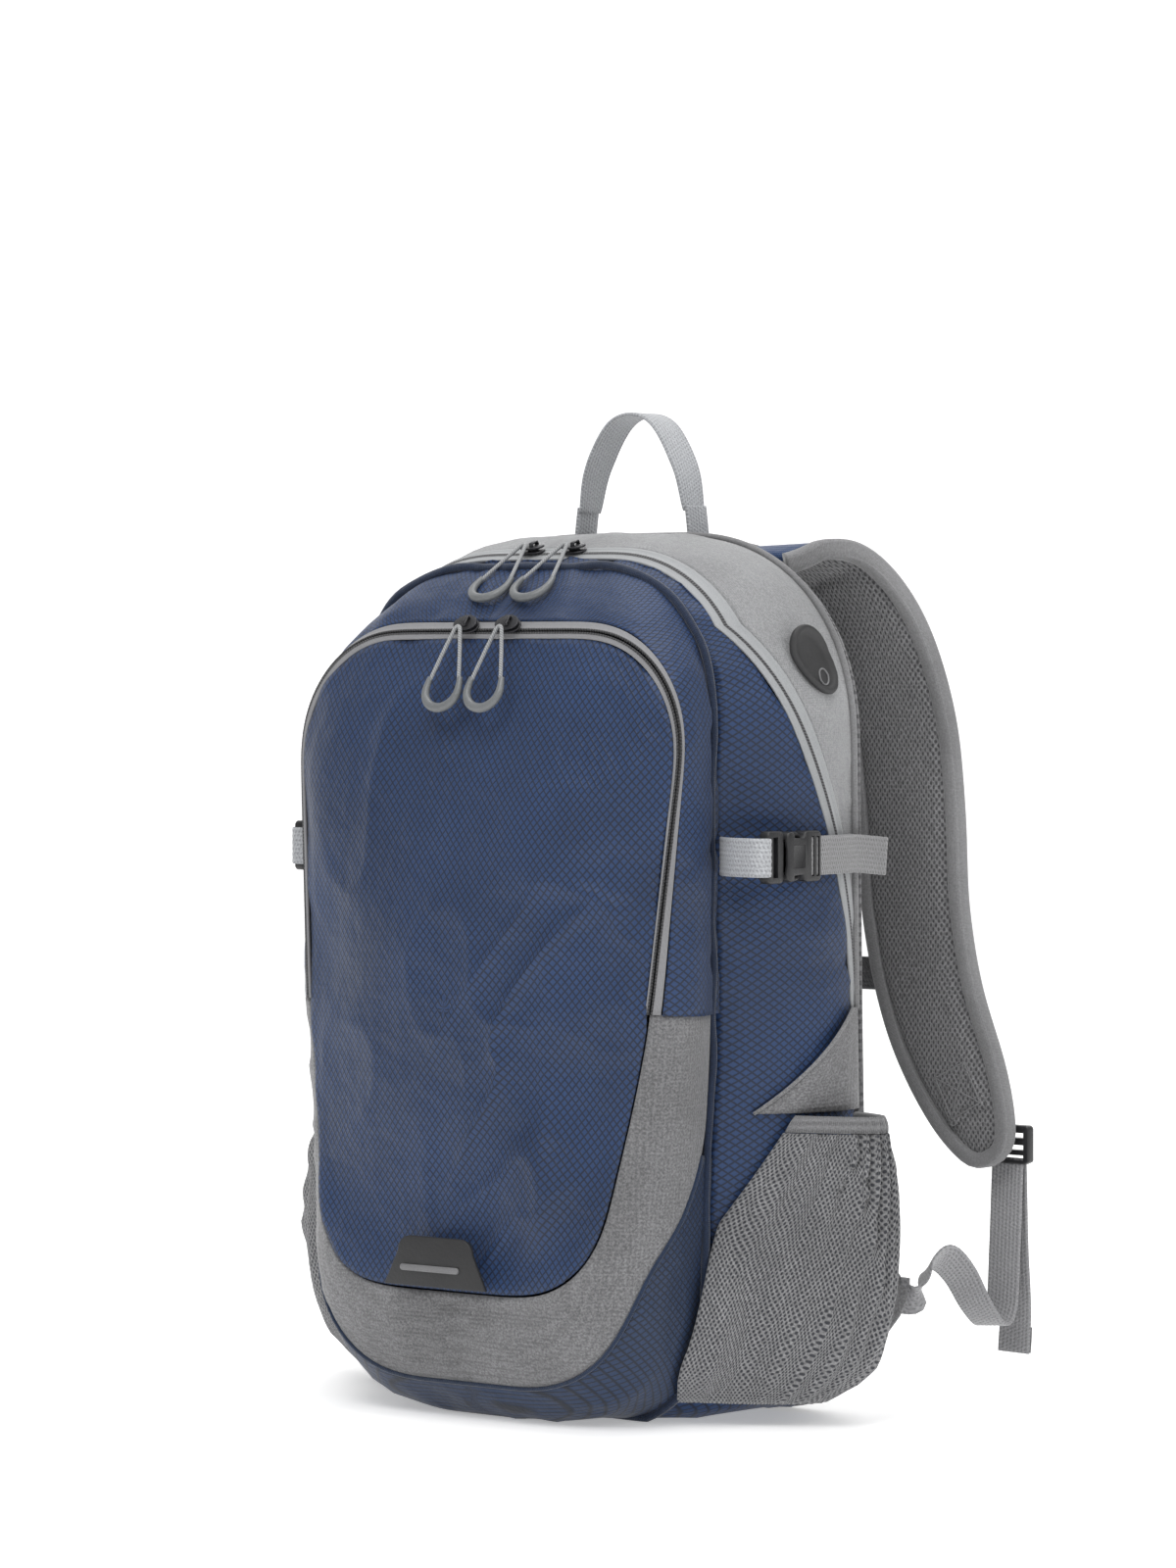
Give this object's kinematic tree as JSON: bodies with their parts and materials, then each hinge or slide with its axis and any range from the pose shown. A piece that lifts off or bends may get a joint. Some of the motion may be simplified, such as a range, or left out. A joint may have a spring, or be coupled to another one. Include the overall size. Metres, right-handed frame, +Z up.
{
  "type": "daypack",
  "caption": "Fabric daypack with a zipped main compartment, zipped front pocket, two mesh side pockets, side compression straps, padded harness and a top grab handle.",
  "frame": {"origin": "centre of the flat base that the bag stands on", "axes": "+Z up to the grab handle, -Y out of the front pocket, +Y towards the wearer's back, +X the side with the cable port"},
  "size_m": [0.3934, 0.2703, 0.5323],
  "materials": {
    "navy_fabric": "diamond ripstop polyester, slight sheen",
    "grey_fabric": "fine woven polyester",
    "pocket_mesh": "elastic knitted mesh",
    "spacer_mesh": "open spacer mesh over foam",
    "black_rubber": "moulded, matte",
    "slider_metal": "dark, worn",
    "pull_cord": "braided cord",
    "grip_rubber": "moulded, satin",
    "zip_tape": "woven tape with a coil",
    "black_plastic": "injection moulded, satin",
    "grey_webbing": "woven webbing"
  },
  "bodies": {
    "pack_body": {"main_shell": "navy_fabric", "main_zip": "zip_tape", "main_gusset": "grey_fabric", "back_panel": "spacer_mesh", "back_pad": "spacer_mesh", "front_gusset": "navy_fabric", "front_zip_outer": "zip_tape", "front_panel_lower": "navy_fabric", "wing_panel": "grey_fabric", "front_base": "navy_fabric", "light_clip_patch": "black_rubber", "cable_port": "black_rubber", "handle_anchor": "grey_webbing", "side_pocket_left": "pocket_mesh", "side_pocket_right": "pocket_mesh", "pocket_elastic_left": "grey_webbing", "pocket_elastic_right": "grey_webbing", "side_panel_left": "grey_fabric", "side_panel_right": "grey_fabric", "compression_front_left": "grey_webbing", "compression_front_right": "grey_webbing", "compression_female_left": "black_plastic", "compression_female_right": "black_plastic", "compression_tail_left": "grey_webbing", "compression_tail_right": "grey_webbing", "compression_rear_left": "grey_webbing", "compression_rear_right": "grey_webbing", "base_tab_left": "grey_fabric", "base_tab_right": "grey_fabric", "lower_webbing_left": "grey_webbing", "lower_webbing_right": "grey_webbing"},
    "handle": {"grab_handle": "grey_webbing"},
    "front_pocket_flap": {"front_flap": "navy_fabric", "front_zip_inner": "zip_tape"},
    "front_slider_left": {"front_slider_left": "slider_metal"},
    "front_pull_left": {"front_pull_cord_left": "pull_cord", "front_pull_grip_left": "grip_rubber"},
    "main_slider_left": {"main_slider_left": "slider_metal"},
    "main_pull_left": {"main_pull_cord_left": "pull_cord", "main_pull_grip_left": "grip_rubber"},
    "compression_release_left": {"compression_male_left": "black_plastic"},
    "ladder_lock_left": {"ladder_lock_left": "black_plastic"},
    "front_slider_right": {"front_slider_right": "slider_metal"},
    "front_pull_right": {"front_pull_cord_right": "pull_cord", "front_pull_grip_right": "grip_rubber"},
    "main_slider_right": {"main_slider_right": "slider_metal"},
    "main_pull_right": {"main_pull_cord_right": "pull_cord", "main_pull_grip_right": "grip_rubber"},
    "compression_release_right": {"compression_male_right": "black_plastic"},
    "ladder_lock_right": {"ladder_lock_right": "black_plastic"},
    "harness": {"shoulder_pad_left": "spacer_mesh", "shoulder_pad_right": "spacer_mesh", "webbing_tail_left": "grey_webbing", "webbing_tail_right": "grey_webbing"},
    "sternum_strap": {"sternum_clip_left": "black_plastic", "sternum_clip_right": "black_plastic", "sternum_female": "black_plastic", "sternum_webbing_left": "grey_webbing", "sternum_webbing_right": "grey_webbing"},
    "sternum_release": {"sternum_male": "black_plastic"}
  },
  "joints": [
    {"name": "handle_fold", "type": "hinge", "parent": "pack_body", "child": "handle", "pos_m": [0, 0.055, 0.4788], "axis": [1, 0, 0], "range_deg": [-75, 75]},
    {"name": "front_flap_open", "type": "hinge", "parent": "pack_body", "child": "front_pocket_flap", "pos_m": [0, -0.1155, 0.217], "axis": [1, 0, 0], "range_deg": [0, 60]},
    {"name": "front_zip_left", "type": "slide", "parent": "front_pocket_flap", "child": "front_slider_left", "axis": [1, 0, 0], "range_m": [-0.038, 0]},
    {"name": "front_pull_swing_left", "type": "hinge", "parent": "front_slider_left", "child": "front_pull_left", "pos_m": [-0.014, -0.085, 0.416], "axis": [1, 0, 0], "range_deg": [-110, 0]},
    {"name": "main_zip_left", "type": "slide", "parent": "pack_body", "child": "main_slider_left", "axis": [1, 0, 0], "range_m": [-0.024, 0]},
    {"name": "compression_release_left", "type": "slide", "parent": "pack_body", "child": "compression_release_left", "axis": [0, -1, 0], "range_m": [0, 0.016], "deforming": ["compression_front_left"]},
    {"name": "ladder_lock_tilt_left", "type": "hinge", "parent": "harness", "child": "ladder_lock_left", "pos_m": [-0.181, 0.1435, 0.147], "axis": [1, 0, 0], "range_deg": [0, 40]},
    {"name": "front_zip_right", "type": "slide", "parent": "front_pocket_flap", "child": "front_slider_right", "axis": [1, 0, 0], "range_m": [0, 0.038]},
    {"name": "front_pull_swing_right", "type": "hinge", "parent": "front_slider_right", "child": "front_pull_right", "pos_m": [0.014, -0.085, 0.416], "axis": [1, 0, 0], "range_deg": [-110, 0]},
    {"name": "main_zip_right", "type": "slide", "parent": "pack_body", "child": "main_slider_right", "axis": [1, 0, 0], "range_m": [0, 0.024]},
    {"name": "compression_release_right", "type": "slide", "parent": "pack_body", "child": "compression_release_right", "axis": [0, -1, 0], "range_m": [0, 0.016], "deforming": ["compression_front_right"]},
    {"name": "ladder_lock_tilt_right", "type": "hinge", "parent": "harness", "child": "ladder_lock_right", "pos_m": [0.181, 0.1435, 0.147], "axis": [1, 0, 0], "range_deg": [0, 40]},
    {"name": "harness_swing", "type": "hinge", "parent": "pack_body", "child": "harness", "pos_m": [0, 0.0585, 0.449], "axis": [1, 0, 0], "range_deg": [-4, 12], "deforming": ["lower_webbing_left", "lower_webbing_right"]},
    {"name": "sternum_height", "type": "slide", "parent": "harness", "child": "sternum_strap", "axis": [0, 0, 1], "range_m": [-0.02, 0.02]},
    {"name": "sternum_buckle_release", "type": "slide", "parent": "sternum_strap", "child": "sternum_release", "axis": [-1, 0, 0], "range_m": [0, 0.014], "deforming": ["sternum_webbing_left"]},
    {"name": "main_pull_swing_left", "type": "hinge", "parent": "main_slider_left", "child": "main_pull_left", "pos_m": [-0.014, -0.0298, 0.45959], "axis": [1, 0, 0], "range_deg": [-110, 0]},
    {"name": "main_pull_swing_right", "type": "hinge", "parent": "main_slider_right", "child": "main_pull_right", "pos_m": [0.014, -0.0298, 0.45959], "axis": [1, 0, 0], "range_deg": [-110, 0]}
  ]
}
